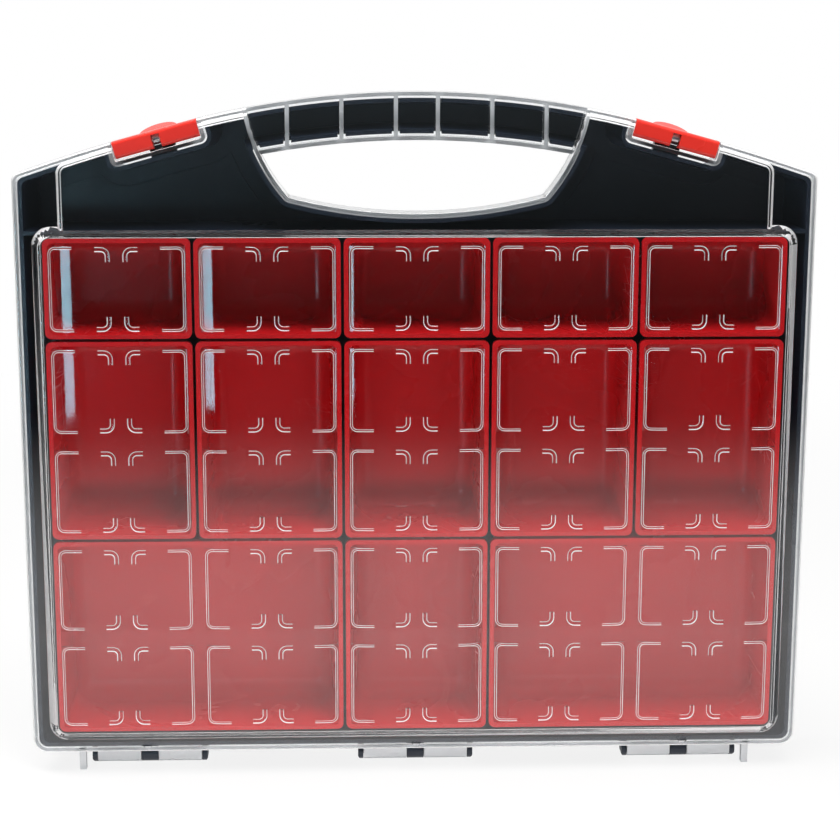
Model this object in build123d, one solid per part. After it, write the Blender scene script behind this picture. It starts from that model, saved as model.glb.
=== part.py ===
from build123d import *
import os
from math import asin, atan, cos, degrees, radians, sin, sqrt, tan

# Small parts organizer case: a black tray with a handle, a clear hinged lid, lift-out bins and two latches.
# It stands on its hinge side, lid to the front.  X runs right, Y from the lid to the back of the tray,
# Z up.  The origin is on the floor, under the middle of the case.  All sizes are in millimetres.

# Bin field, a grid of cells that the bins fill
cell_width = 79.0
cell_height = 55.0
columns = 5
rows = 5

# Bins
bin_depth = 47.0
bin_spacing = 1.6
bin_wall = 1.6
bin_floor = 1.8
bin_draft = 1.5
bin_corner = 3.5
bin_rim_lip = 0.7
bin_rim_band = 3.5
bin_floor_corner = 14.0
bin_floor_round = 11.0

# Outline of the case, seen from the front
side_border = 14.5
bottom_border = 12.5
crown_rise = 75.1
crown_radius = 480.0
crown_half = 120.0
shoulder_radius = 1200.0
bottom_corner = 8.0
shoulder_corner = 5.0
least_corner = 4.0

# Handle and finger opening
handle_height = 25.0
opening_floor_rise = 11.7
opening_floor_radius = 266.8
opening_side_rise = 81.7
opening_side_radius = 93.7
opening_side_offset = 3.35
opening_corner = 3.0
handle_gap_margin = 0.5
handle_depth = 28.5
cover_recess = 2.0
cover_rib_places = (11.0, 39.5, 68.0)
cover_rib_width = 2.2
cover_rib_margin = 0.5
cover_gap = 1.5
cover_snap_width = 12.0
cover_snap_height = 3.0

# Lid shell
lid_wall = 2.0
lid_gap = 1.7
lid_edge_round = 1.2
lid_inner_round = 0.9
panel_rise = 6.0
panel_slope = 4.2
panel_margin = 1.0
panel_corner = 6.0
plateau_rise = 2.5
plateau_border = 23.5
plateau_margin = 2.5
plateau_corner = 6.0
plateau_round = 2.0
skirt_depth = 14.0
skirt_clearance = 1.0
rim_clearance = 0.3

# Bin locators inside the lid
locator_height = 1.2
locator_reach = 36.0
locator_width = 14.0
locator_length = 46.0
sink = 0.4

# Bare badge seat on the lid
badge_width = 36.0
badge_height = 17.0
badge_lean = 6.0
badge_depth = 0.4

# Tray
tray_wall = 2.2
tray_floor = 2.4
tray_draft = 4.0
tray_back_round = 2.5
fence_gap = 0.5
fence_wall = 2.0
fence_height = 8.0
ear_pad_rise = 0.8
ear_pad_margin = 9.0

# Latches
latch_place = 137.5
bar_length = 45.6
bar_height = 9.3
bar_depth = 8.0
bar_round = 2.0
bar_setback = 0.6
bar_notch = 4.6
notch_end_gap = 0.5
notch_floor_gap = 1.0
notch_corner = 1.0
clip_width = 3.4
clip_eye_wall = 1.2
latch_pin_radius = 1.2
latch_plate = 1.8
latch_plate_width = 40.0
latch_plate_drop = 1.6
latch_reach = 20.0
hook_depth = 2.2
hook_drop = 8.7
hook_width = 14.0
tab_radius = 10.5
tab_tilt = 15.0
catch_depth = 3.0
catch_gap = 0.3

# Hinges, pins and feet
hinge_places = (-149.0, 0.0, 149.0)
hinge_width = 64.5
hinge_chamfer = 2.0
hinge_setback = 2.0
foot_height = 13.0
barrel_radius = 4.4
barrel_floor = 1.6
hinge_end_lug = 3.25
hinge_middle_lug = 10.0
knuckle_web = 3.6
knuckle_gap = 0.3
hinge_pin_radius = 1.6
hinge_pin_inset = 1.5
hinge_pad = 1.5
hinge_plate_gap = 0.6
hinge_foot_gap = 11.5
hinge_foot_depth = 14.0
tongue_width = 8.0
tongue_depth = 3.0
tongue_height = 3.0
tongue_inset = 15.25
peg_place = 186.0
peg_width = 3.6
peg_depth = 4.0
peg_setback = 7.0
nub_size = 2.6

# Fits
press_gap = 0.02
running_gap = 0.08
tongue_gap = 0.15
overcut = 1.0

# Levels from front to back
case_depth = lid_wall + lid_gap + bin_depth + tray_floor
panel_front = -case_depth / 2
panel_inner = panel_front + lid_wall
bin_rim = panel_inner + lid_gap
bin_seat = bin_rim + bin_depth
tray_back = bin_seat + tray_floor
flange_front = panel_front + panel_rise
flange_inner = flange_front + lid_wall
plateau_front = flange_front - plateau_rise
plateau_inner = plateau_front + lid_wall
cover_front = flange_front + cover_recess
cover_inner = cover_front + lid_wall
parting = flange_front + skirt_depth
tray_rim = flange_inner + rim_clearance
handle_rim = cover_inner + cover_gap + rim_clearance
handle_back = handle_rim + handle_depth

# Heights and half widths
field_half = columns * cell_width / 2
case_half = field_half + side_border
plateau_half = case_half - plateau_border
lid_bottom = foot_height
field_bottom = lid_bottom + bottom_border
field_top = field_bottom + rows * cell_height
field_middle = (field_bottom + field_top) / 2
apex = field_top + crown_rise
crown_centre = apex - crown_radius
crown_angle = asin(crown_half / crown_radius)
shoulder_x = -(shoulder_radius - crown_radius) * sin(crown_angle)
shoulder_z = crown_centre - (shoulder_radius - crown_radius) * cos(crown_angle)
tray_inset = lid_wall + skirt_clearance

# Latch notch in the top edge, round the latch's bar
notch_width = bar_length + 2 * notch_end_gap
notch_depth = bar_height + notch_floor_gap

# Latch frame: the point of the top edge that the latch sits on, and the slope of the edge there
latch_slope = degrees(asin((latch_place - shoulder_x) / shoulder_radius))
latch_height = shoulder_z + shoulder_radius * cos(radians(latch_slope))
latch_along = (cos(radians(latch_slope)), 0, -sin(radians(latch_slope)))
latch_pivot_y = flange_front + bar_setback + bar_depth / 2
latch_pivot_drop = bar_height / 2

# Hinge knuckles of the lid, between the middle lug and the end lugs of each hinge block
knuckle_width = (hinge_width - hinge_middle_lug) / 2 - hinge_end_lug
knuckle_place = (hinge_middle_lug + knuckle_width) / 2
tongue_place = hinge_width / 2 - tongue_inset

# Hinge axis
hinge_y = parting + hinge_setback
hinge_z = barrel_floor + barrel_radius
tray_underside = lid_bottom + tray_inset


# Placing front-view sketches
def at_depth(sketch, y):
    return Plane.XZ.offset(-y) * sketch


def slab(sketch, start, end):
    return extrude(at_depth(sketch, start), amount=end - start, dir=(0, 1, 0))


def block(x_from, x_to, y_from, y_to, z_from, z_to):
    size = (x_to - x_from, y_to - y_from, z_to - z_from)
    middle = ((x_from + x_to) / 2, (y_from + y_to) / 2, (z_from + z_to) / 2)
    return Pos(*middle) * Box(*size)


def both_sides(shape):
    return [shape, mirror(shape, about=Plane.YZ)]


# Front-view outlines; each grows or shrinks parallel to itself
def outline(inset):
    half = case_half - inset
    low = lid_bottom + inset
    crown = crown_radius - inset
    side = shoulder_radius - inset
    end_angle = asin((half - shoulder_x) / side)
    mid_angle = (crown_angle + end_angle) / 2

    def on_side(angle, sign):
        return (sign * (shoulder_x + side * sin(angle)), shoulder_z + side * cos(angle))

    edges = [
        Line((-half, low), (half, low)),
        Line((half, low), on_side(end_angle, 1)),
        ThreePointArc(on_side(end_angle, 1), on_side(mid_angle, 1), on_side(crown_angle, 1)),
        ThreePointArc(on_side(crown_angle, 1), (0, crown_centre + crown), on_side(crown_angle, -1)),
        ThreePointArc(on_side(crown_angle, -1), on_side(mid_angle, -1), on_side(end_angle, -1)),
        Line(on_side(end_angle, -1), (-half, low)),
    ]
    face = make_face(edges)
    face = fillet(face.vertices().sort_by(Axis.Y)[:2], max(bottom_corner - inset, least_corner))
    ends = [v for v in face.vertices() if abs(v.Y - on_side(end_angle, 1)[1]) < sink]
    return fillet(ends, max(shoulder_corner - inset, least_corner))


def cross(one, other):
    # The right-hand point where two circles meet; each is its centre and its radius
    (ax, az), a_radius = one
    (bx, bz), b_radius = other
    apart = sqrt((bx - ax) ** 2 + (bz - az) ** 2)
    along = (a_radius**2 - b_radius**2 + apart**2) / (2 * apart)
    aside = sqrt(a_radius**2 - along**2)
    foot = (ax + along * (bx - ax) / apart, az + along * (bz - az) / apart)
    step = (aside * (bz - az) / apart, -aside * (bx - ax) / apart)
    return max((foot[0] + step[0], foot[1] + step[1]), (foot[0] - step[0], foot[1] - step[1]))


def on_circle(circle, start, end):
    # The middle of the arc of a circle between two of its points
    (x, z), radius = circle
    reach = ((start[0] + end[0]) / 2 - x, (start[1] + end[1]) / 2 - z)
    length = sqrt(reach[0] ** 2 + reach[1] ** 2)
    return (x + radius * reach[0] / length, z + radius * reach[1] / length)


def flip(point):
    return (-point[0], point[1])


# Circles of the finger opening: its floor, its right side and the underside of the handle
opening_floor = field_top + opening_floor_rise
handle_under = crown_radius - handle_height


def floor_circle(grow):
    return ((0, opening_floor + opening_floor_radius), opening_floor_radius + grow)


def side_circle(grow):
    return ((-opening_side_offset, field_top + opening_side_rise), opening_side_radius + grow)


def under_circle(grow):
    return ((0, crown_centre), handle_under + grow)


def opening(grow):
    low = cross(floor_circle(grow), side_circle(grow))
    top = cross(side_circle(grow), under_circle(grow))
    middle = on_circle(side_circle(grow), low, top)
    edges = [
        ThreePointArc(flip(low), (0, opening_floor - grow), low),
        ThreePointArc(low, middle, top),
        ThreePointArc(top, (0, crown_centre + handle_under + grow), flip(top)),
        ThreePointArc(flip(top), flip(middle), flip(low)),
    ]
    face = make_face(edges)
    return fillet(face.vertices().sort_by(Axis.Y)[:2], opening_corner + grow)


def handle_gap(grow):
    # Everything between the sides of the opening, from its lower corners to above the crown
    (side_x, side_z), side_radius = side_circle(grow)
    low = cross(floor_circle(grow), side_circle(grow))
    widest = (side_x + side_radius, side_z)
    high = (widest[0], apex + handle_height)
    middle = on_circle(side_circle(grow), low, widest)
    edges = [
        Line(flip(low), low),
        ThreePointArc(low, middle, widest),
        Polyline(widest, high, flip(high), flip(widest)),
        ThreePointArc(flip(widest), flip(middle), flip(low)),
    ]
    return make_face(edges)


def notch(grow):
    width = notch_width + 2 * grow
    depth = 2 * (notch_depth + grow)
    shape = RectangleRounded(width, depth, notch_corner + grow)
    return Pos(latch_place, latch_height) * Rot(0, 0, -latch_slope) * shape


def plateau(inset):
    half = plateau_half - inset
    low = field_top - cell_height / 2
    strip = Pos(0, (low + apex) / 2) * Rectangle(2 * half, apex - low)
    face = outline(plateau_margin + inset) & strip
    corners = [v for v in face.vertices() if abs(abs(v.X) - half) < sink and v.Y > field_top]
    return fillet(corners, plateau_corner - inset)


def panel(grow):
    width = 2 * (field_half + panel_margin + grow)
    height = field_top - field_bottom + 2 * (panel_margin + grow)
    return Pos(0, field_middle) * RectangleRounded(width, height, panel_corner + grow)


# Draft: the tray narrows towards its back
def draft_at(y):
    return tray_inset + (y - tray_rim) * tan(radians(tray_draft))


def drafted(shape, start, end, wall):
    sections = [at_depth(shape(draft_at(y) + wall), y) for y in (start, end)]
    return loft(sections, ruled=True)


# Latch section plane: local x runs back, local y runs out of the top edge
def latch_section(drop):
    origin = (
        latch_place - drop * sin(radians(latch_slope)),
        0,
        latch_height - drop * cos(radians(latch_slope)),
    )
    return Plane(origin=origin, x_dir=(0, 1, 0), z_dir=latch_along)


latch_plane = latch_section(0)


def latch_box(length, y_from, y_to, low, high):
    shape = Pos((y_from + y_to) / 2, (low + high) / 2) * Rectangle(y_to - y_from, high - low)
    return extrude(latch_plane * shape, amount=length / 2, both=True)


def latch_rod(radius, length):
    shape = Pos(latch_pivot_y, -latch_pivot_drop) * Circle(radius)
    return extrude(latch_plane * shape, amount=length / 2, both=True)


# Hinge section: local x runs back, local y runs up
def hinge_rod(radius, x_from, x_to):
    middle = ((x_from + x_to) / 2, hinge_y, hinge_z)
    return Pos(*middle) * Rot(0, 90, 0) * Cylinder(radius, x_to - x_from)


# Bins
def make_bin(wide, tall):
    width = wide * cell_width - bin_spacing
    height = tall * cell_height - bin_spacing
    inner_depth = bin_depth - bin_floor

    def tapered(shrink, start, end, grow):
        # A tapering block whose corners get rounder towards the floor, with a well rounded floor edge
        sections = []
        for inset, corner, depth in ((shrink, bin_corner, start), (shrink + bin_draft, bin_floor_corner + grow, end)):
            shape = RectangleRounded(width - 2 * inset, height - 2 * inset, corner)
            sections.append(at_depth(shape, bin_rim + depth))
        solid = loft(sections, ruled=True)
        return fillet(solid.faces().sort_by(Axis.Y)[-1].edges(), bin_floor_round + grow)

    band = slab(RectangleRounded(width, height, bin_corner), bin_rim, bin_rim + bin_rim_band)
    body = tapered(bin_rim_lip, bin_rim_band, bin_depth, bin_wall)
    hollow = tapered(bin_rim_lip + bin_wall, 0, inner_depth, 0)
    return band + body - hollow


def bin_place(column, row, wide, tall):
    x = -field_half + (column + wide / 2) * cell_width
    z = field_top - (row + tall / 2) * cell_height
    return Pos(x, 0, z)


def make_bins():
    bins = {}
    small = make_bin(1, 1)
    double = make_bin(1, 2)
    large = make_bin(2, 2)
    for column in range(columns):
        name = f"bin_small_{column + 1}"
        bins[name] = bin_place(column, 0, 1, 1) * small
    for column in range(columns):
        name = f"bin_double_{column + 1}"
        bins[name] = bin_place(column, 1, 1, 2) * double
    bins["bin_large_left"] = bin_place(0, 3, 2, 2) * large
    bins["bin_double_lower"] = bin_place(2, 3, 1, 2) * double
    bins["bin_large_right"] = bin_place(3, 3, 2, 2) * large
    return bins


# Lid
def locator_wedge():
    # A ramp that slopes from its steep outer side down to the inner face of the lid
    tip = locator_reach - locator_width
    root = panel_inner - sink
    crest = panel_inner + locator_height
    steep = Line((locator_reach, root), (locator_reach, crest))
    ramp = TangentArc((tip, panel_inner), (locator_reach, crest), tangent=(1, 0))
    base = Polyline((tip, panel_inner), (tip, root), (locator_reach, root))
    return extrude(make_face([steep, ramp, base]), amount=locator_length / 2, both=True)


def lid_locators():
    places = [bin_place(c, r, 1, 1) for c in range(columns) for r in range(rows)]
    return [place * wedge for place in places for wedge in both_sides(locator_wedge())]


def lid_body():
    flange = slab(outline(0), flange_front, parting)
    flange = fillet(flange.faces().sort_by(Axis.Y)[0].edges(), lid_edge_round)
    raised = slab(plateau(0), plateau_front, flange_inner)
    raised = fillet(raised.faces().sort_by(Axis.Y)[0].edges(), plateau_round)
    front = loft([at_depth(panel(0), panel_front), at_depth(panel(panel_slope), flange_front)], ruled=True)
    front = fillet(front.faces().sort_by(Axis.Y)[0].edges(), lid_edge_round)
    return flange + raised + front


def lid_hollow():
    run = atan(panel_slope / panel_rise)
    shift = lid_wall * tan(run) - lid_wall / cos(run)
    deep = panel_slope * (flange_inner + overcut - panel_inner) / panel_rise
    sections = [(panel_inner, shift), (flange_inner + overcut, shift + deep)]
    front = loft([at_depth(panel(grow), y) for y, grow in sections], ruled=True)
    raised = slab(plateau(lid_wall), plateau_inner, flange_inner + overcut)
    rest = slab(outline(lid_wall), flange_inner, parting + overcut)
    front, raised, rest = [
        fillet(hollow.faces().sort_by(Axis.Y)[0].edges(), lid_inner_round) for hollow in (front, raised, rest)
    ]
    return front + raised + rest - slab(handle_gap(lid_wall), plateau_inner - overcut, cover_inner)


def lid_divider():
    # The full-depth wall between an ear and the handle, in line with the side of the opening
    return slab(handle_gap(lid_wall) - handle_gap(0), flange_front, parting + overcut)


def cover_ribs(gap):
    # The right-hand ribs between the handle's cover and the tray, wider by a gap on both sides
    width = cover_rib_width + 2 * gap
    strips = [Pos(place, apex - handle_height / 2) * Rectangle(width, 2 * handle_height) for place in cover_rib_places]
    return [(strip & outline(cover_rib_margin)) - opening(cover_rib_margin) for strip in strips]


def lid_cover_ribs():
    ribs = [rib for shape in cover_ribs(0) for rib in both_sides(slab(shape, cover_inner - sink, parting))]
    snap_low = crown_centre + handle_under
    snap = Pos(0, snap_low + cover_snap_height / 2) * Rectangle(cover_snap_width, cover_snap_height)
    return ribs + [slab(snap - opening(cover_rib_margin), cover_inner - sink, cover_inner + cover_gap)]


def lid_latch_clip():
    post = latch_box(clip_width, latch_pivot_y - clip_width / 2, latch_pivot_y + clip_width / 2,
                     -notch_depth - sink, -latch_pivot_drop)
    return post + latch_rod(latch_pin_radius + clip_eye_wall, clip_width)


def lid_hinge_knuckle(place):
    left = place - knuckle_width / 2
    right = place + knuckle_width / 2
    barrel = hinge_rod(barrel_radius, left, right)
    web_back = parting - knuckle_gap
    web = block(left, right, web_back - knuckle_web, web_back, hinge_z, lid_bottom + sink)
    neck = block(left, right, web_back - knuckle_web, hinge_y, hinge_z - knuckle_web / 2, hinge_z + knuckle_web / 2)
    return barrel + web + neck


def lid_peg():
    front = flange_front + peg_setback
    return block(peg_place - peg_width / 2, peg_place + peg_width / 2, front, front + peg_depth, 0, lid_bottom + sink)


def lid_nub(place):
    low = lid_bottom + lid_edge_round
    points = [(place, low), (place + nub_size, low + nub_size), (place - nub_size, low + nub_size)]
    return slab(make_face(Polyline(*points, close=True)), flange_front - nub_size / 2, flange_front + sink)


def badge_seat():
    half = badge_width / 2
    low = field_middle - badge_height / 2
    high = field_middle + badge_height / 2
    points = [(-half, low), (half - badge_lean, low), (half, high), (badge_lean - half, high)]
    return slab(make_face(Polyline(*points, close=True)), panel_front - overcut, panel_front + badge_depth)


def make_lid():
    walls = [slab(opening(lid_wall), flange_front, parting + overcut)]
    walls += both_sides(slab(notch(lid_wall), flange_front, parting + overcut))
    hollow = lid_hollow() - walls - lid_divider()
    holes = [slab(handle_gap(0), panel_front - overcut, cover_front)]
    holes += [slab(opening(0), panel_front - overcut, parting + overcut)]
    holes += both_sides(slab(notch(0), panel_front - overcut, parting + overcut))
    lid = lid_body() - hollow - holes
    knuckles = [
        lid_hinge_knuckle(place + side * knuckle_place)
        for place in hinge_places
        for side in (-1, 1)
    ]
    extras = lid_cover_ribs() + both_sides(lid_latch_clip()) + both_sides(lid_peg()) + knuckles
    extras += [lid_nub(place) for place in hinge_places]
    lid = lid + extras + lid_locators()
    bores = [hinge_rod(hinge_pin_radius + running_gap, -case_half, case_half), badge_seat()]
    bores += both_sides(latch_rod(latch_pin_radius + press_gap, 2 * clip_width))
    return lid - bores


# Tray
def tray_hollow():
    start = tray_rim - overcut
    hollow = drafted(outline, start, bin_seat, tray_wall)
    hollow -= drafted(opening, start - overcut, bin_seat + overcut, tray_wall)
    hollow -= both_sides(drafted(notch, start - overcut, bin_seat + overcut, tray_wall))
    hollow -= drafted(handle_gap, handle_back - tray_floor, bin_seat + overcut, tray_wall - handle_gap_margin)
    return hollow


def tray_fence():
    # A full-height wall above the bin field, and low ribs at its sides and bottom
    inner = field_half + fence_gap
    outer = inner + fence_wall
    low = field_bottom - fence_gap
    top = field_top + fence_gap
    rib_front = bin_seat - fence_height
    back = bin_seat + sink
    wall = block(-case_half, case_half, tray_rim, back, top, top + fence_wall)
    ribs = [block(-outer, outer, rib_front, back, low - fence_wall, low)]
    ribs += both_sides(block(inner, outer, rib_front, back, low, top))
    return [wall] + ribs


def tray_ear_pad():
    # A slightly raised flat panel on the floor of each ear
    low = field_top + fence_wall + ear_pad_margin
    inset = draft_at(bin_seat) + tray_wall + ear_pad_margin
    area = Pos(case_half / 2, (low + apex) / 2) * Rectangle(case_half, apex - low)
    shape = (outline(inset) & area) - notch(inset) - handle_gap(inset) - opening(inset)
    return slab(shape, bin_seat - ear_pad_rise, bin_seat + sink)


def tray_catch():
    # The ledge behind the latch bar, under the tip of the latch's hook
    low = -(notch_depth + draft_at(tray_back))
    front = latch_pivot_y + latch_reach - catch_depth
    return latch_box(hook_width, front, latch_pivot_y + latch_reach + hook_depth, low, -hook_drop - catch_gap)


def tray_hinge_pad(place):
    # A flat seat for a hinge block, under the sloping bottom wall
    left = place - hinge_width / 2
    right = place + hinge_width / 2
    top = tray_underside + tray_wall + draft_at(tray_back) - tray_inset
    return block(left, right, parting + knuckle_gap, tray_back - tray_back_round, tray_underside - hinge_pad, top)


def hinge_tongues(place, gap):
    tongues = []
    middle = (parting + tray_back) / 2
    for side in (-1, 1):
        x = place + side * tongue_place
        half = tongue_width / 2 + gap
        depth = tongue_depth / 2 + gap
        low = tray_underside - hinge_pad - sink
        top = tray_underside - hinge_pad + tongue_height + gap
        tongues.append(block(x - half, x + half, middle - depth, middle + depth, low, top))
    return tongues


def make_tray():
    body = drafted(outline, tray_rim, tray_back, 0)
    body = fillet(body.faces().sort_by(Axis.Y)[-1].edges(), tray_back_round)
    holes = [drafted(opening, tray_rim - overcut, tray_back + overcut, 0)]
    holes += both_sides(drafted(notch, tray_rim - overcut, tray_back + overcut, 0))
    holes += [drafted(handle_gap, handle_back, tray_back + overcut, -handle_gap_margin)]
    recess = handle_gap(tray_inset - handle_gap_margin)
    holes += [slab(recess, tray_rim - overcut, handle_rim)]
    grooves = [recess - handle_gap(-skirt_clearance)]
    grooves += [side for shape in cover_ribs(skirt_clearance) for side in (shape, mirror(shape, about=Plane.YZ))]
    holes += [slab(groove, handle_rim - sink, parting + rim_clearance) for groove in grooves]
    body -= holes
    hollow = tray_hollow()
    tray = body - hollow + [piece & body for piece in tray_fence()]
    tray += both_sides(tray_ear_pad()) + both_sides(tray_catch())
    tray += [tray_hinge_pad(place) for place in hinge_places]
    slots = [slot for place in hinge_places for slot in hinge_tongues(place, tongue_gap)]
    return tray - slots


# Hinges
def make_hinge_block(place):
    left = place - hinge_width / 2
    right = place + hinge_width / 2
    top = tray_underside - hinge_pad
    front = hinge_y - barrel_radius
    plate_low = hinge_z + barrel_radius + hinge_plate_gap
    foot_front = hinge_y + hinge_foot_gap
    foot_back = foot_front + hinge_foot_depth
    plate_front = parting + knuckle_gap
    plate = block(left, right, plate_front, foot_back, plate_low, top)
    foot = block(left, right, foot_front, foot_back, 0, top)
    lug_edges = [(-hinge_width / 2, -knuckle_place - knuckle_width / 2 - knuckle_gap)]
    lug_edges += [(-knuckle_place + knuckle_width / 2 + knuckle_gap, knuckle_place - knuckle_width / 2 - knuckle_gap)]
    lug_edges += [(knuckle_place + knuckle_width / 2 + knuckle_gap, hinge_width / 2)]
    lugs = []
    for start, end in lug_edges:
        lugs.append(hinge_rod(barrel_radius, place + start, place + end))
        lugs.append(block(place + start, place + end, plate_front, hinge_y + barrel_radius, hinge_z, top))
    solid = plate + foot + lugs
    solid -= hinge_rod(hinge_pin_radius + press_gap, left - overcut, right + overcut)
    corners = []
    for x, side in ((left, 1), (right, -1)):
        points = [(x, 0), (x + side * hinge_chamfer, 0), (x, 2 * hinge_chamfer)]
        corners.append(slab(make_face(Polyline(*points, close=True)), front - overcut, foot_back + overcut))
    return solid - corners + hinge_tongues(place, 0)


def make_hinge_pin(place):
    half = hinge_width / 2 - hinge_pin_inset
    return hinge_rod(hinge_pin_radius, place - half, place + half)


# Latches
def make_latch():
    bar = Pos(latch_pivot_y, -latch_pivot_drop) * RectangleRounded(bar_depth, bar_height, bar_round)
    bar = extrude(latch_plane * bar, amount=bar_length / 2, both=True)
    back = latch_pivot_y + latch_reach + hook_depth
    top = -latch_plate_drop
    plate = latch_box(latch_plate_width, latch_pivot_y, back, top - latch_plate, top)
    hook = latch_box(hook_width, back - hook_depth, back, -hook_drop, top)
    disc = extrude(Plane.XY * Circle(tab_radius), amount=latch_plate)
    disc &= Pos(tab_radius, 0, 0) * Box(2 * tab_radius, 2 * tab_radius, 4 * tab_radius)
    seat = Plane(latch_plane.from_local_coords((back - latch_plate, top - latch_plate, 0)),
                 x_dir=(0, 1, 0), z_dir=latch_plane.y_dir)
    tab = seat * Rot(0, -tab_tilt, 0) * disc
    latch = bar + plate + hook + tab
    eye = latch_pin_radius + clip_eye_wall
    gap = latch_box(bar_notch, latch_pivot_y - bar_depth, latch_pivot_y + bar_depth,
                    -bar_height - overcut, -latch_pivot_drop + eye + catch_gap)
    return latch - gap - latch_rod(latch_pin_radius + running_gap, 2 * bar_length)


def make_latch_pin():
    return latch_rod(latch_pin_radius, bar_length - bar_round)


nodes = {"tray": make_tray(), "lid": make_lid()}
nodes.update(make_bins())
for side, place in zip(("left", "centre", "right"), hinge_places):
    nodes[f"hinge_block_{side}"] = make_hinge_block(place)
    nodes[f"hinge_pin_{side}"] = make_hinge_pin(place)
nodes["latch_right"], nodes["latch_left"] = both_sides(make_latch())
nodes["latch_pin_right"], nodes["latch_pin_left"] = both_sides(make_latch_pin())

os.makedirs("parts", exist_ok=True)
for name, shape in nodes.items():
    export_step(shape, f"parts/{name}.step")
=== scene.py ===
import math

import bmesh
import bpy
from mathutils import Euler, Matrix, Vector


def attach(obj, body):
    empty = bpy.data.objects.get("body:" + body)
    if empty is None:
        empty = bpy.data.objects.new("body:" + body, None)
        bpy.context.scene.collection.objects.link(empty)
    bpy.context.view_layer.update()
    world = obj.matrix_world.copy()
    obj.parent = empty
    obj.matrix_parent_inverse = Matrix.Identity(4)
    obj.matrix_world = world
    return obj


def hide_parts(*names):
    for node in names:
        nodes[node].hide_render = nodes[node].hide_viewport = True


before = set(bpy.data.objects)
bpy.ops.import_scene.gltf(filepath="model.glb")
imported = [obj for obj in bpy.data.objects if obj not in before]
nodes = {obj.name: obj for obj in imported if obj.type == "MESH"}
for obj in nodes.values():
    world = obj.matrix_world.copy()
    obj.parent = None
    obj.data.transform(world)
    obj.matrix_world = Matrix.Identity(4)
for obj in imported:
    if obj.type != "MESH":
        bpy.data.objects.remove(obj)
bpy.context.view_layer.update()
mm = 0.001
scene = bpy.context.scene
print("frame loaded:", len(nodes), "nodes")


# small helpers for node trees
def addNode(tree, kind, place, **settings):
    node = tree.nodes.new(kind)
    node.location = place
    for name, value in settings.items():
        setattr(node, name, value)
    return node


def link(tree, start, end):
    tree.links.new(start, end)


def newGroup(name, kind, inputs, outputs):
    group = bpy.data.node_groups.new(name, kind)
    for label, socketType in inputs:
        group.interface.new_socket(name=label, in_out="INPUT", socket_type=socketType)
    for label, socketType in outputs:
        group.interface.new_socket(name=label, in_out="OUTPUT", socket_type=socketType)
    return group, addNode(group, "NodeGroupInput", (-900, 0)), addNode(group, "NodeGroupOutput", (700, 0))


floatSocket = "NodeSocketFloat"
vectorSocket = "NodeSocketVector"


# spark-eroded mould skin: fine grain for bump, slow unevenness for roughness and tone
skinNoise = dict(grainDetail=3.0, flowDetail=4.0, flowDistortion=0.6, flowRange=(0.3, 0.7))


def buildMouldSkin():
    group, given, result = newGroup(
        "mouldSkin", "ShaderNodeTree",
        [("Vector", vectorSocket), ("Grain Scale", floatSocket), ("Flow Scale", floatSocket),
         ("Rough Low", floatSocket), ("Rough High", floatSocket)],
        [("Height", floatSocket), ("Roughness", floatSocket), ("Tone", floatSocket)])
    grain = addNode(group, "ShaderNodeTexNoise", (-500, 200))
    grain.inputs["Detail"].default_value = skinNoise["grainDetail"]
    flow = addNode(group, "ShaderNodeTexNoise", (-500, -100))
    flow.inputs["Detail"].default_value = skinNoise["flowDetail"]
    flow.inputs["Distortion"].default_value = skinNoise["flowDistortion"]
    spread = addNode(group, "ShaderNodeMapRange", (100, -150))
    spread.inputs["From Min"].default_value = skinNoise["flowRange"][0]
    spread.inputs["From Max"].default_value = skinNoise["flowRange"][1]
    link(group, given.outputs["Vector"], grain.inputs["Vector"])
    link(group, given.outputs["Grain Scale"], grain.inputs["Scale"])
    link(group, given.outputs["Vector"], flow.inputs["Vector"])
    link(group, given.outputs["Flow Scale"], flow.inputs["Scale"])
    link(group, flow.outputs["Fac"], spread.inputs["Value"])
    link(group, given.outputs["Rough Low"], spread.inputs["To Min"])
    link(group, given.outputs["Rough High"], spread.inputs["To Max"])
    link(group, grain.outputs["Fac"], result.inputs["Height"])
    link(group, spread.outputs["Result"], result.inputs["Roughness"])
    link(group, flow.outputs["Fac"], result.inputs["Tone"])
    return group


# hairline handling marks: stretched cell borders, two directions, only in patches
hairPattern = dict(turns=(0.5, -0.9), stretches=((1.0, 1.0, 9.0), (8.0, 1.0, 1.0)), patchScale=11.0,
                   patchRange=(0.5, 0.7))


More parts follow.
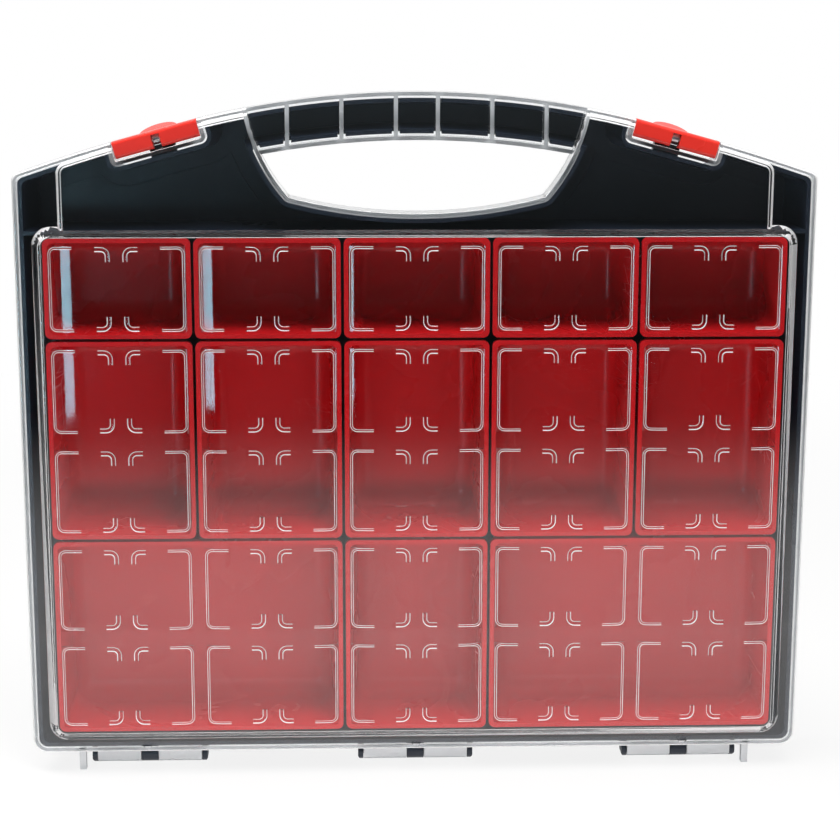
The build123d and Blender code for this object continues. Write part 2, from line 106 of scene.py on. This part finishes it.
def buildHairMarks():
    group, given, result = newGroup(
        "hairMarks", "ShaderNodeTree",
        [("Vector", vectorSocket), ("Scale", floatSocket), ("Width", floatSocket)],
        [("Mask", floatSocket)])
    lines = []
    for turn, stretch, level in zip(hairPattern["turns"], hairPattern["stretches"], (200, -100)):
        turned = addNode(group, "ShaderNodeMapping", (-650, level))
        turned.inputs["Rotation"].default_value = (0.0, turn, 0.0)
        turned.inputs["Scale"].default_value = stretch
        cells = addNode(group, "ShaderNodeTexVoronoi", (-400, level), feature="DISTANCE_TO_EDGE")
        thin = addNode(group, "ShaderNodeMath", (-150, level), operation="LESS_THAN")
        link(group, given.outputs["Vector"], turned.inputs["Vector"])
        link(group, turned.outputs["Vector"], cells.inputs["Vector"])
        link(group, given.outputs["Scale"], cells.inputs["Scale"])
        link(group, cells.outputs["Distance"], thin.inputs[0])
        link(group, given.outputs["Width"], thin.inputs[1])
        lines.append(thin)
    either = addNode(group, "ShaderNodeMath", (100, 100), operation="MAXIMUM")
    patches = addNode(group, "ShaderNodeTexNoise", (-150, -400))
    patches.inputs["Scale"].default_value = hairPattern["patchScale"]
    cut = addNode(group, "ShaderNodeMapRange", (100, -300))
    cut.inputs["From Min"].default_value = hairPattern["patchRange"][0]
    cut.inputs["From Max"].default_value = hairPattern["patchRange"][1]
    both = addNode(group, "ShaderNodeMath", (400, 0), operation="MULTIPLY")
    link(group, lines[0].outputs[0], either.inputs[0])
    link(group, lines[1].outputs[0], either.inputs[1])
    link(group, given.outputs["Vector"], patches.inputs["Vector"])
    link(group, patches.outputs["Fac"], cut.inputs["Value"])
    link(group, either.outputs[0], both.inputs[0])
    link(group, cut.outputs["Result"], both.inputs[1])
    link(group, both.outputs[0], result.inputs["Mask"])
    return group


mouldSkin = buildMouldSkin()
hairMarks = buildHairMarks()
print("shader groups built")


# one moulded finish: colour between two tones, skin roughness, hair marks a little rougher
def mouldedFinish(name, look):
    finish = bpy.data.materials.new(name)
    finish.use_nodes = True
    tree = finish.node_tree
    shader = tree.nodes["Principled BSDF"]
    place = addNode(tree, "ShaderNodeTexCoord", (-1300, 0))
    skin = addNode(tree, "ShaderNodeGroup", (-1050, 150), node_tree=mouldSkin)
    marks = addNode(tree, "ShaderNodeGroup", (-1050, -250), node_tree=hairMarks)
    skin.inputs["Grain Scale"].default_value = look["grainScale"]
    skin.inputs["Flow Scale"].default_value = look["flowScale"]
    skin.inputs["Rough Low"].default_value = look["rough"][0]
    skin.inputs["Rough High"].default_value = look["rough"][1]
    marks.inputs["Scale"].default_value = look["markScale"]
    marks.inputs["Width"].default_value = look["markWidth"]
    tone = addNode(tree, "ShaderNodeMix", (-700, 300), data_type="RGBA")
    tone.inputs["A"].default_value = (*look["colour"], 1)
    tone.inputs["B"].default_value = (*look["colourDeep"], 1)
    worn = addNode(tree, "ShaderNodeMath", (-700, 0), operation="MULTIPLY_ADD")
    worn.inputs[1].default_value = look["markRough"]
    bump = addNode(tree, "ShaderNodeBump", (-400, -250))
    bump.inputs["Strength"].default_value = look["bump"]
    bump.inputs["Distance"].default_value = look["bumpDepth"]
    link(tree, place.outputs["Object"], skin.inputs["Vector"])
    link(tree, place.outputs["Object"], marks.inputs["Vector"])
    link(tree, skin.outputs["Tone"], tone.inputs["Factor"])
    link(tree, tone.outputs["Result"], shader.inputs["Base Color"])
    link(tree, marks.outputs["Mask"], worn.inputs[0])
    link(tree, skin.outputs["Roughness"], worn.inputs[2])
    link(tree, worn.outputs[0], shader.inputs["Roughness"])
    link(tree, skin.outputs["Height"], bump.inputs["Height"])
    link(tree, bump.outputs["Normal"], shader.inputs["Normal"])
    shader.inputs["IOR"].default_value = look["ior"]
    shader.inputs["Metallic"].default_value = look.get("metallic", 0.0)
    shader.inputs["Specular IOR Level"].default_value = look.get("shine", 0.5)
    return finish, tree, shader


# clear lid: lamps and bounced light pass straight through, everything else is refracted;
# a rounded edge also gets a pale diffuse and translucent share, a painted highlight in place of the light carried
# inside the plastic
def clearFinish(name, look, rounded):
    finish, tree, shader = mouldedFinish(name, look)
    shader.inputs["Transmission Weight"].default_value = 1.0
    output = tree.nodes["Material Output"]
    surface = shader.outputs[0]
    if rounded:
        # painted highlight: pale diffuse and translucent colour mixed onto the rounded edge
        front = addNode(tree, "ShaderNodeBsdfDiffuse", (0, -500))
        through = addNode(tree, "ShaderNodeBsdfTranslucent", (0, -700))
        front.inputs["Color"].default_value = through.inputs["Color"].default_value = (*look["edgeHighlightColour"], 1)
        pale = addNode(tree, "ShaderNodeMixShader", (200, -600))
        pale.inputs[0].default_value = look["edgeHighlightBehind"]
        edge = addNode(tree, "ShaderNodeMixShader", (350, -100))
        edge.inputs[0].default_value = look["edgeHighlightShare"]
        link(tree, front.outputs[0], pale.inputs[1])
        link(tree, through.outputs[0], pale.inputs[2])
        link(tree, surface, edge.inputs[1])
        link(tree, pale.outputs[0], edge.inputs[2])
        surface = edge.outputs[0]
    path = addNode(tree, "ShaderNodeLightPath", (0, 500))
    either = addNode(tree, "ShaderNodeMath", (200, 500), operation="MAXIMUM")
    passing = addNode(tree, "ShaderNodeBsdfTransparent", (200, 250))
    passing.inputs["Color"].default_value = (*look["passing"], 1)
    mixed = addNode(tree, "ShaderNodeMixShader", (450, 200))
    link(tree, path.outputs["Is Shadow Ray"], either.inputs[0])
    link(tree, path.outputs["Is Diffuse Ray"], either.inputs[1])
    link(tree, either.outputs[0], mixed.inputs[0])
    link(tree, surface, mixed.inputs[1])
    link(tree, passing.outputs[0], mixed.inputs[2])
    link(tree, mixed.outputs[0], output.inputs["Surface"])
    return finish


# the pale edge colour and its two shares in the clear look paint the highlight on the rounded edges
clearLook = dict(colour=(0.965, 0.975, 0.98), colourDeep=(0.945, 0.96, 0.97), passing=(0.9, 0.91, 0.915),
                 edgeHighlightColour=(0.95, 0.96, 0.97), edgeHighlightShare=0.9, edgeHighlightBehind=0.2, ior=1.59, rough=(0.015, 0.05),
                 markRough=0.1, grainScale=60.0, flowScale=12.0, markScale=16.0, markWidth=0.006, bump=0.02,
                 bumpDepth=0.0004)
binLook = dict(colour=(0.63, 0.010, 0.014), colourDeep=(0.54, 0.008, 0.011), ior=1.5, shine=0.25, rough=(0.2, 0.34),
               markRough=0.12, grainScale=1500.0, flowScale=14.0, markScale=18.0, markWidth=0.008, bump=0.06,
               bumpDepth=0.0002)
# pale frosted grey: partly a frosted face, partly a painted highlight of the light carried along the clear walls
edgeLook = dict(colour=(0.74, 0.76, 0.78), colourDeep=(0.66, 0.68, 0.71), ior=1.59, rough=(0.45, 0.65), markRough=0.1,
                grainScale=1800.0, flowScale=40.0, markScale=30.0, markWidth=0.01, bump=0.15, bumpDepth=0.0003)
trayLook = dict(colour=(0.016, 0.022, 0.036), colourDeep=(0.010, 0.0145, 0.026), ior=1.5, rough=(0.26, 0.42),
                markRough=0.1, grainScale=1300.0, flowScale=10.0, markScale=12.0, markWidth=0.008, bump=0.1,
                bumpDepth=0.0003)
latchLook = dict(colour=(0.86, 0.045, 0.03), colourDeep=(0.78, 0.03, 0.022), ior=1.5, rough=(0.22, 0.34),
                 markRough=0.12, grainScale=1600.0, flowScale=30.0, markScale=40.0, markWidth=0.01, bump=0.06,
                 bumpDepth=0.0002)
pinLook = dict(colour=(0.6, 0.6, 0.61), colourDeep=(0.52, 0.52, 0.53), ior=1.5, rough=(0.22, 0.36), markRough=0.15,
               grainScale=2500.0, flowScale=60.0, markScale=90.0, markWidth=0.02, bump=0.05, bumpDepth=0.0001,
               metallic=1.0)

clearPlastic = clearFinish("clearLidPlastic", clearLook, False)
# the edge finish is clear plastic with a painted highlight
paintedEdgeHighlight = clearFinish("clearLidPaintedHighlight", clearLook, True)
frostedEdgeAndHighlight = mouldedFinish("frostedLidEdgeAndHighlight", edgeLook)[0]
binRed = mouldedFinish("binRedPlastic", binLook)[0]
trayBlack = mouldedFinish("trayBlackPlastic", trayLook)[0]
latchRed = mouldedFinish("latchRedPlastic", latchLook)[0]
pinSteel = mouldedFinish("pinSteel", pinLook)[0]
print("finishes built")


# finishes on the pieces that show as they are
def dress(node, finish):
    node.data.materials.clear()
    node.data.materials.append(finish)


for name, node in nodes.items():
    if name.startswith("bin_"):
        dress(node, binRed)
    elif name.startswith(("latch_pin", "hinge_pin")):
        dress(node, pinSteel)
    elif name.startswith("latch_"):
        dress(node, latchRed)
    elif name != "lid":
        dress(node, trayBlack)

# moulded strokes on the inside of the lid panel, one set for each cell of the bin field
cellGrid = dict(columns=5, rows=5, pitchAcross=79.0, pitchUp=55.0, middleUp=163.0, innerFace=-24.55)
cornerMarks = dict(aside=4.6, up=21.2, leg=6.6, bend=3.4, stroke=2.6, height=1.1, sunk=0.6, softEdge=0.8, tip=1.8)
locatorBeads = dict(reach=35.1, up=21.9, leg=12.0, bend=3.2, rise=1.1, stroke=1.5, height=0.45, sunk=0.8, softEdge=0.65,
                    tip=6.0)
strokePath = dict(bendSteps=6, tipSteps=(0.05, 0.2, 0.5, 1.0), thinnest=0.02, edgeSteps=4)


# tree that sweeps a bar along the paths it is given and sets a copy on every cell
def buildStrokeTree():
    sizes = [("Columns", "NodeSocketInt"), ("Rows", "NodeSocketInt")] + [
        (label, floatSocket) for label in
        ("Pitch Across", "Pitch Up", "Stroke", "Height", "Sunk", "Soft Edge", "Tip")]
    tree, given, result = newGroup(
        "cellStrokes", "GeometryNodeTree",
        [("Paths", "NodeSocketGeometry"), ("Finish", "NodeSocketMaterial")] + sizes,
        [("Geometry", "NodeSocketGeometry")])
    get = given.outputs

    def fill(socket, value):
        if isinstance(value, (int, float)):
            socket.default_value = value
        else:
            link(tree, value, socket)

    def maths(operation, first, second, place):
        node = addNode(tree, "ShaderNodeMath", place, operation=operation)
        fill(node.inputs[0], first)
        fill(node.inputs[1], second)
        return node.outputs[0]

    def triple(x, y, z, place):
        node = addNode(tree, "ShaderNodeCombineXYZ", place)
        for socket, value in zip(node.inputs, (x, y, z)):
            fill(socket, value)
        return node.outputs[0]

    # paths of one cell, in the XY plane
    curve = addNode(tree, "GeometryNodeMeshToCurve", (-600, 500))
    link(tree, get["Paths"], curve.inputs["Mesh"])
    upright = addNode(tree, "GeometryNodeSetCurveNormal", (-400, 500))
    upright.mode = "Z_UP"
    link(tree, curve.outputs["Curve"], upright.inputs["Curve"])
    # the bar runs out in a round tip at both ends
    along = addNode(tree, "GeometryNodeSplineParameter", (-1000, 800))
    pathLength = addNode(tree, "GeometryNodeSplineLength", (-1000, 650))
    left = maths("SUBTRACT", pathLength.outputs["Length"], along.outputs["Length"], (-800, 700))
    share = maths("DIVIDE", maths("MINIMUM", along.outputs["Length"], left, (-650, 750)), get["Tip"], (-500, 750))
    missing = maths("SUBTRACT", 1.0, maths("MINIMUM", share, 1.0, (-350, 750)), (-200, 750))
    fullness = maths("SUBTRACT", 1.0, maths("MULTIPLY", missing, missing, (-50, 750)), (100, 750))
    tipped = addNode(tree, "GeometryNodeSetCurveRadius", (250, 500))
    link(tree, upright.outputs["Curve"], tipped.inputs["Curve"])
    link(tree, maths("MAXIMUM", fullness, strokePath["thinnest"], (250, 750)), tipped.inputs["Radius"])
    # section of the stroke: a bar with its two outer edges rounded, sunk a little into the panel
    bar = addNode(tree, "GeometryNodeCurvePrimitiveQuadrilateral", (-600, -100))
    link(tree, get["Stroke"], bar.inputs["Width"])
    link(tree, maths("ADD", get["Height"], get["Sunk"], (-800, -200)), bar.inputs["Height"])
    lifted = addNode(tree, "GeometryNodeTransform", (-400, -100))
    middle = maths("MULTIPLY", maths("SUBTRACT", get["Sunk"], get["Height"], (-800, -350)), 0.5, (-600, -350))
    link(tree, triple(0, middle, 0, (-500, -350)), lifted.inputs["Translation"])
    link(tree, bar.outputs["Curve"], lifted.inputs["Geometry"])
    sectionPlace = addNode(tree, "GeometryNodeInputPosition", (-400, -450))
    split = addNode(tree, "ShaderNodeSeparateXYZ", (-250, -450))
    link(tree, sectionPlace.outputs[0], split.inputs[0])
    outerEdge = maths("LESS_THAN", split.outputs["Y"], 0.0, (-100, -450))
    softened = addNode(tree, "GeometryNodeFilletCurve", (100, -100))
    softened.mode = "POLY"
    softened.inputs["Count"].default_value = strokePath["edgeSteps"]
    link(tree, lifted.outputs["Geometry"], softened.inputs["Curve"])
    link(tree, maths("MULTIPLY", outerEdge, get["Soft Edge"], (0, -300)), softened.inputs["Radius"])
    swept = addNode(tree, "GeometryNodeCurveToMesh", (400, 300))
    swept.inputs["Fill Caps"].default_value = True
    link(tree, tipped.outputs["Curve"], swept.inputs["Curve"])
    link(tree, softened.outputs["Curve"], swept.inputs["Profile Curve"])
    # one set on each cell
    grid = addNode(tree, "GeometryNodeMeshGrid", (650, -700))
    for count, pitch, vertices, size, level in (("Columns", "Pitch Across", "Vertices X", "Size X", -800),
                                                ("Rows", "Pitch Up", "Vertices Y", "Size Y", -950)):
        link(tree, get[count], grid.inputs[vertices])
        span = maths("SUBTRACT", get[count], 1.0, (200, level))
        link(tree, maths("MULTIPLY", get[pitch], span, (400, level)), grid.inputs[size])
    placed = addNode(tree, "GeometryNodeInstanceOnPoints", (1100, 0))
    link(tree, grid.outputs["Mesh"], placed.inputs["Points"])
    link(tree, swept.outputs["Mesh"], placed.inputs["Instance"])
    whole = addNode(tree, "GeometryNodeRealizeInstances", (1300, 0))
    finished = addNode(tree, "GeometryNodeSetMaterial", (1500, 0))
    link(tree, placed.outputs["Instances"], whole.inputs["Geometry"])
    link(tree, whole.outputs["Geometry"], finished.inputs["Geometry"])
    link(tree, get["Finish"], finished.inputs["Material"])
    link(tree, finished.outputs["Geometry"], result.inputs["Geometry"])
    return tree


strokeTree = buildStrokeTree()


# paths as loose edges, run through the tree, kept as a plain mesh on the panel's inner face
def moulded(name, paths, look):
    points, edges = [], []
    for path in paths:
        edges += [(len(points) + i, len(points) + i + 1) for i in range(len(path) - 1)]
        points += [Vector(point) * mm for point in path]
    pathMesh = bpy.data.meshes.new(name + "Paths")
    pathMesh.from_pydata(points, edges, [])
    carrier = bpy.data.objects.new(name + "Paths", pathMesh)
    scene.collection.objects.link(carrier)
    values = {"Finish": clearPlastic, "Columns": cellGrid["columns"], "Rows": cellGrid["rows"],
              "Pitch Across": cellGrid["pitchAcross"] * mm, "Pitch Up": cellGrid["pitchUp"] * mm,
              "Stroke": look["stroke"] * mm, "Height": look["height"] * mm, "Sunk": look["sunk"] * mm,
              "Soft Edge": look["softEdge"] * mm, "Tip": look["tip"] * mm}
    modifier = carrier.modifiers.new(name, "NODES")
    modifier.node_group = strokeTree
    for item in strokeTree.interface.items_tree:
        if item.in_out == "INPUT" and item.name in values:
            modifier[item.identifier] = values[item.name]
    bpy.context.view_layer.update()
    evaluated = carrier.evaluated_get(bpy.context.evaluated_depsgraph_get())
    mesh = bpy.data.meshes.new_from_object(evaluated)
    mesh.name = name
    bpy.data.objects.remove(carrier)
    # Y of the path goes up, Z goes inwards
    mesh.transform(Matrix.Translation((0, cellGrid["innerFace"] * mm, cellGrid["middleUp"] * mm))
                   @ Matrix.Rotation(math.radians(90), 4, "X") @ Matrix.Scale(-1, 4, (0, 0, 1)))
    mesh.flip_normals()
    print(name + ":", len(mesh.polygons), "faces")
    return mesh


# a path with square bends made round, and extra points where its ends run out
def softPath(points, bend, tip):
    points = [Vector((x, y, 0)) for x, y in points]
    path = [points[0]]
    for before, corner, after in zip(points, points[1:], points[2:]):
        inward, outward = (corner - before).normalized(), (after - corner).normalized()
        middle = corner + bend * (outward - inward)
        for step in range(strokePath["bendSteps"] + 1):
            turn = math.radians(90) * step / strokePath["bendSteps"]
            path.append(middle + bend * (inward * math.sin(turn) - outward * math.cos(turn)))
    path.append(points[-1])
    first, last = (path[1] - path[0]).normalized(), (path[-2] - path[-1]).normalized()
    starts = [path[0] + first * tip * share for share in strokePath["tipSteps"]]
    ends = [path[-1] + last * tip * share for share in reversed(strokePath["tipSteps"])]
    return [path[0]] + starts + path[1:-1] + ends + [path[-1]]


def cornerPaths():
    look = cornerMarks
    paths = []
    for x, y in ((1, 1), (1, -1), (-1, 1), (-1, -1)):
        outer, inner = x * (look["aside"] + look["leg"]), x * look["aside"]
        points = [(outer, y * look["up"]), (inner, y * look["up"]), (inner, y * (look["up"] - look["leg"]))]
        paths.append(softPath(points, look["bend"], look["tip"]))
    return paths


# the bead climbs the locator's ramp, runs down its steep side and back
def beadPaths():
    look = locatorBeads
    paths = []
    for side in (1, -1):
        near, far, up = side * (look["reach"] - look["leg"]), side * look["reach"], look["up"]
        path = softPath([(near, up), (far, up), (far, -up), (near, -up)], look["bend"], look["tip"])
        for point in path:
            point.z = look["rise"] * (1 - (look["reach"] - abs(point.x)) / look["leg"]) ** 2
        paths.append(path)
    return paths


def addObject(name, mesh):
    thing = bpy.data.objects.new(name, mesh)
    scene.collection.objects.link(thing)
    return thing


def appliedMesh(thing, name):
    bpy.context.view_layer.update()
    mesh = bpy.data.meshes.new_from_object(thing.evaluated_get(bpy.context.evaluated_depsgraph_get()))
    mesh.name = name
    return mesh


# every corner's own normal goes along as a plain field, because joining would lose it
def noteNormals(mesh):
    field = mesh.attributes.new("skinNormal", "FLOAT_VECTOR", "CORNER")
    field.data.foreach_set("vector", [part for normal in mesh.corner_normals for part in normal.vector])


def setNotedNormals(mesh):
    field = mesh.attributes["skinNormal"]
    mesh.normals_split_custom_set([Vector(item.vector).normalized() for item in field.data])
    mesh.attributes.remove(mesh.attributes["skinNormal"])


# clear lid with its marks moulded on, so that light meets one skin all round
clearLid = dict(mergeGap=0.002, markSharpAngle=50.0, partingEdge=-6.55, edgeGap=0.03, edgeFacing=0.95,
                roundFacing=(0.12, 0.95), panelFoot=-20.6, panelTop=308.0, fieldHalf=197.5,
                fieldUp=(25.5, 300.5), stepDepth=(-23.1, -20.5), footTop=12.7)


# 0 clear skin, also on the panel's sloping sides; 1 small rounded edge with a painted highlight; 2 frosted parting
# edge, knuckles and pegs, pale, partly frosting and partly a painted highlight of the light carried along the clear
# walls
def edgeKind(face):
    facing = face.normal.y
    across, depth, up = abs(face.center.x) / mm, face.center.y / mm, face.center.z / mm
    atParting = facing > clearLid["edgeFacing"] and abs(depth - clearLid["partingEdge"]) < clearLid["edgeGap"]
    if atParting or up < clearLid["footTop"]:
        return 2
    inField = across < clearLid["fieldHalf"] and clearLid["fieldUp"][0] < up < clearLid["fieldUp"][1]
    if depth < clearLid["panelFoot"] and up < clearLid["panelTop"] and not inField:
        return 0
    onStep = clearLid["stepDepth"][0] < depth < clearLid["stepDepth"][1] and not inField
    return int((onStep or abs(facing) > clearLid["roundFacing"][0]) and abs(facing) < clearLid["roundFacing"][1])


def buildClearLid():
    lidMesh = nodes["lid"].data.copy()
    noteNormals(lidMesh)
    shape = bmesh.new()
    shape.from_mesh(lidMesh)
    bmesh.ops.remove_doubles(shape, verts=shape.verts, dist=clearLid["mergeGap"] * mm)
    shape.to_mesh(lidMesh)
    shape.free()
    lid = addObject("clearLid", lidMesh)
    for strokes in (moulded("cornerMarks", cornerPaths(), cornerMarks),
                    moulded("locatorBeads", beadPaths(), locatorBeads)):
        strokes.polygons.foreach_set("use_smooth", [True] * len(strokes.polygons))
        strokes.set_sharp_from_angle(angle=math.radians(clearLid["markSharpAngle"]))
        noteNormals(strokes)
        standing = addObject(strokes.name, strokes)
        joined = lid.modifiers.new(strokes.name, "BOOLEAN")
        joined.operation = "UNION"
        joined.solver = "EXACT"
        joined.object = standing
        lid.data = appliedMesh(lid, "clearLid")
        lid.modifiers.clear()
        bpy.data.objects.remove(standing)
    lid.data.polygons.foreach_set("use_smooth", [True] * len(lid.data.polygons))
    setNotedNormals(lid.data)
    dress(lid, clearPlastic)
    # painted highlights: the pale edge finishes on rounded edges and on frosted faces
    lid.data.materials.append(paintedEdgeHighlight)
    lid.data.materials.append(frostedEdgeAndHighlight)
    for face in lid.data.polygons:
        face.material_index = edgeKind(face)
    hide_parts("lid")
    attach(lid, "lid")
    return lid


lidPiece = buildClearLid()
print("clear lid:", len(lidPiece.data.polygons), "faces")

# floor, light and the dark card that the lid mirrors from beyond the edge of the table, a painted reflection and
# painted shade that the camera never sees; the window is only mirrored
stageLook = dict(floorSize=24.0, floorColour=(0.8, 0.8, 0.8), floorGlow=0.86, glowNear=0.35, glowFar=1.2, ambient=0.16,
                 roomDark=0.18, roomFront=-0.7, roomBack=0.1, cardNear=-0.34, cardDark=-0.95, cardPale=-5.0,
                 cardFar=-14.0, cardHalf=7.0, cardLift=0.004, cardTone=(0.015, 0.13), cardColour=(0.8, 0.92, 1.0),
                 paperRough=0.9)
lamps = {
    "overhead": dict(place=(-0.15, -0.3, 1.55), aim=(0.0, -0.12, 0.1), size=(1.6, 0.5), power=40.0,
                     colour=(1.0, 0.985, 0.97), mirrored=False, lights=True),
    "lowFront": dict(place=(0.0, -0.29, 0.03), aim=(0.0, 0.0, 0.09), size=(0.6, 0.05), power=0.56,
                     colour=(1.0, 0.99, 0.98), mirrored=False, lights=True),
    "window": dict(place=(-0.5, -0.9, 0.1), aim=(-0.15, -0.02, 0.1), size=(0.15, 0.2), power=1.1,
                   colour=(0.4, 0.76, 0.92), mirrored=True, lights=False),
}


# 1 for rays that show the background itself, straight, mirrored or through the lid
def seenRays(tree, place):
    path = addNode(tree, "ShaderNodeLightPath", place)
    first = addNode(tree, "ShaderNodeMath", (place[0] + 200, place[1]), operation="MAXIMUM")
    second = addNode(tree, "ShaderNodeMath", (place[0] + 400, place[1]), operation="MAXIMUM")
    link(tree, path.outputs["Is Camera Ray"], first.inputs[0])
    link(tree, path.outputs["Is Glossy Ray"], first.inputs[1])
    link(tree, first.outputs[0], second.inputs[0])
    link(tree, path.outputs["Is Transmission Ray"], second.inputs[1])
    return second.outputs[0]


def flatPlane(name, left, right, front, back, height, finish):
    mesh = bpy.data.meshes.new(name)
    mesh.from_pydata([(left, front, height), (right, front, height), (right, back, height), (left, back, height)],
                     [], [(0, 1, 2, 3)])
    mesh.materials.append(finish)
    plane = addObject(name, mesh)
    return plane


def buildStage():
    white = bpy.data.worlds.new("studio")
    scene.world = white
    white.use_nodes = True
    tree = white.node_tree
    lit = tree.nodes["Background"]
    lit.inputs["Color"].default_value = (1, 1, 1, 1)
    shown = addNode(tree, "ShaderNodeBackground", (0, -200))
    shown.inputs["Color"].default_value = (1, 1, 1, 1)
    # straight on the background is white; to everything else the room in front is dim
    way = addNode(tree, "ShaderNodeTexCoord", (-900, -300))
    axes = addNode(tree, "ShaderNodeSeparateXYZ", (-700, -300))
    dim = addNode(tree, "ShaderNodeMapRange", (-500, -300), interpolation_type="SMOOTHSTEP")
    for label, value in (("From Min", stageLook["roomFront"]), ("From Max", stageLook["roomBack"]),
                         ("To Min", stageLook["roomDark"]), ("To Max", 1.0)):
        dim.inputs[label].default_value = value
    path = addNode(tree, "ShaderNodeLightPath", (-500, -600))
    level = addNode(tree, "ShaderNodeMath", (-200, -400), operation="MAXIMUM")
    link(tree, way.outputs["Generated"], axes.inputs[0])
    link(tree, axes.outputs["Y"], dim.inputs["Value"])
    link(tree, dim.outputs["Result"], level.inputs[0])
    link(tree, path.outputs["Is Camera Ray"], level.inputs[1])
    link(tree, level.outputs[0], shown.inputs["Strength"])
    soft = addNode(tree, "ShaderNodeMath", (-200, 100), operation="MULTIPLY")
    soft.inputs[1].default_value = stageLook["ambient"]
    link(tree, dim.outputs["Result"], soft.inputs[0])
    link(tree, soft.outputs[0], lit.inputs["Strength"])
    mixed = addNode(tree, "ShaderNodeMixShader", (300, 0))
    link(tree, seenRays(tree, (-600, 300)), mixed.inputs[0])
    link(tree, lit.outputs[0], mixed.inputs[1])
    link(tree, shown.outputs[0], mixed.inputs[2])
    link(tree, mixed.outputs[0], tree.nodes["World Output"].inputs["Surface"])

    paper = bpy.data.materials.new("floorPaper")
    paper.use_nodes = True
    tree = paper.node_tree
    shader = tree.nodes["Principled BSDF"]
    shader.inputs["Base Color"].default_value = (*stageLook["floorColour"], 1)
    shader.inputs["Roughness"].default_value = stageLook["paperRough"]
    glow = addNode(tree, "ShaderNodeEmission", (0, -200))
    # the share of plain white grows with the distance, so that no horizon shows
    where = addNode(tree, "ShaderNodeTexCoord", (-900, 600))
    away = addNode(tree, "ShaderNodeVectorMath", (-700, 600), operation="LENGTH")
    spread = addNode(tree, "ShaderNodeMapRange", (-500, 600), interpolation_type="SMOOTHSTEP")
    for label, value in (("From Min", stageLook["glowNear"]), ("From Max", stageLook["glowFar"]),
                         ("To Min", stageLook["floorGlow"]), ("To Max", 1.0)):
        spread.inputs[label].default_value = value
    share = addNode(tree, "ShaderNodeMath", (0, 300), operation="MULTIPLY")
    mixed = addNode(tree, "ShaderNodeMixShader", (300, 0))
    link(tree, where.outputs["Object"], away.inputs[0])
    link(tree, away.outputs["Value"], spread.inputs["Value"])
    link(tree, spread.outputs["Result"], share.inputs[1])
    link(tree, seenRays(tree, (-600, 300)), share.inputs[0])
    link(tree, share.outputs[0], mixed.inputs[0])
    link(tree, shader.outputs[0], mixed.inputs[1])
    link(tree, glow.outputs[0], mixed.inputs[2])
    link(tree, mixed.outputs[0], tree.nodes["Material Output"].inputs["Surface"])
    half = stageLook["floorSize"] / 2
    flatPlane("floor", -half, half, -half, half, 0.0, paper)

    # the card fades in, so that its edge doesn't draw a line across the lid
    cardShading = bpy.data.materials.new("cardPaintedShade")
    cardShading.use_nodes = True
    tree = cardShading.node_tree
    tree.nodes.remove(tree.nodes["Principled BSDF"])
    # a faint bluish glow, darker near the case and paler further away: painted reflection and painted shade of a dim
    # room
    shade = addNode(tree, "ShaderNodeEmission", (0, 0))
    shade.inputs["Color"].default_value = (*stageLook["cardColour"], 1)
    clear = addNode(tree, "ShaderNodeBsdfTransparent", (0, -200))
    where = addNode(tree, "ShaderNodeTexCoord", (-900, 200))
    axes = addNode(tree, "ShaderNodeSeparateXYZ", (-700, 200))
    fade = addNode(tree, "ShaderNodeMapRange", (-500, 200), interpolation_type="SMOOTHSTEP")
    fade.inputs["From Min"].default_value = stageLook["cardNear"]
    fade.inputs["From Max"].default_value = stageLook["cardDark"]
    tone = addNode(tree, "ShaderNodeMapRange", (-500, -100))
    for label, value in (("From Min", stageLook["cardDark"]), ("From Max", stageLook["cardPale"]),
                         ("To Min", stageLook["cardTone"][0]), ("To Max", stageLook["cardTone"][1])):
        tone.inputs[label].default_value = value
    mixed = addNode(tree, "ShaderNodeMixShader", (300, 0))
    link(tree, where.outputs["Object"], axes.inputs[0])
    link(tree, axes.outputs["Y"], fade.inputs["Value"])
    link(tree, axes.outputs["Y"], tone.inputs["Value"])
    link(tree, tone.outputs["Result"], shade.inputs["Strength"])
    link(tree, fade.outputs["Result"], mixed.inputs[0])
    link(tree, clear.outputs[0], mixed.inputs[1])
    link(tree, shade.outputs[0], mixed.inputs[2])
    link(tree, mixed.outputs[0], tree.nodes["Material Output"].inputs["Surface"])
    card = flatPlane("darkCard", -stageLook["cardHalf"], stageLook["cardHalf"], stageLook["cardFar"],
                     stageLook["cardNear"], stageLook["cardLift"], cardShading)
    # the card shows only in reflections, through the lid and in bounced light
    card.visible_camera = card.visible_shadow = False


def placeLamps():
    for name, lamp in lamps.items():
        data = bpy.data.lights.new(name, "AREA")
        data.shape = "RECTANGLE"
        data.size, data.size_y = lamp["size"]
        data.energy = lamp["power"]
        data.color = lamp["colour"]
        light = bpy.data.objects.new(name, data)
        light.location = lamp["place"]
        towards = Vector(lamp["aim"]) - Vector(lamp["place"])
        light.rotation_euler = towards.to_track_quat("-Z", "Y").to_euler()
        light.visible_glossy = light.visible_transmission = lamp["mirrored"]
        light.visible_diffuse = lamp["lights"]
        scene.collection.objects.link(light)


buildStage()
placeLamps()
print("stage and lamps set")

# camera where the photograph was taken from
viewpoint = dict(place=(-36.85, -1100.62, 440.44), turn=(77.5005, -0.1279, -2.0231), lens=88.09, sensor=36.0,
                 farEnd=50.0)


def placeCamera():
    data = bpy.data.cameras.new("viewCamera")
    data.lens = viewpoint["lens"]
    data.sensor_width = viewpoint["sensor"]
    data.clip_end = viewpoint["farEnd"]
    camera = bpy.data.objects.new("viewCamera", data)
    camera.location = Vector(viewpoint["place"]) * mm
    camera.rotation_euler = Euler([math.radians(a) for a in viewpoint["turn"]])
    scene.collection.objects.link(camera)
    scene.camera = camera


placeCamera()
scene.view_settings.view_transform = "Standard"
print("camera set")
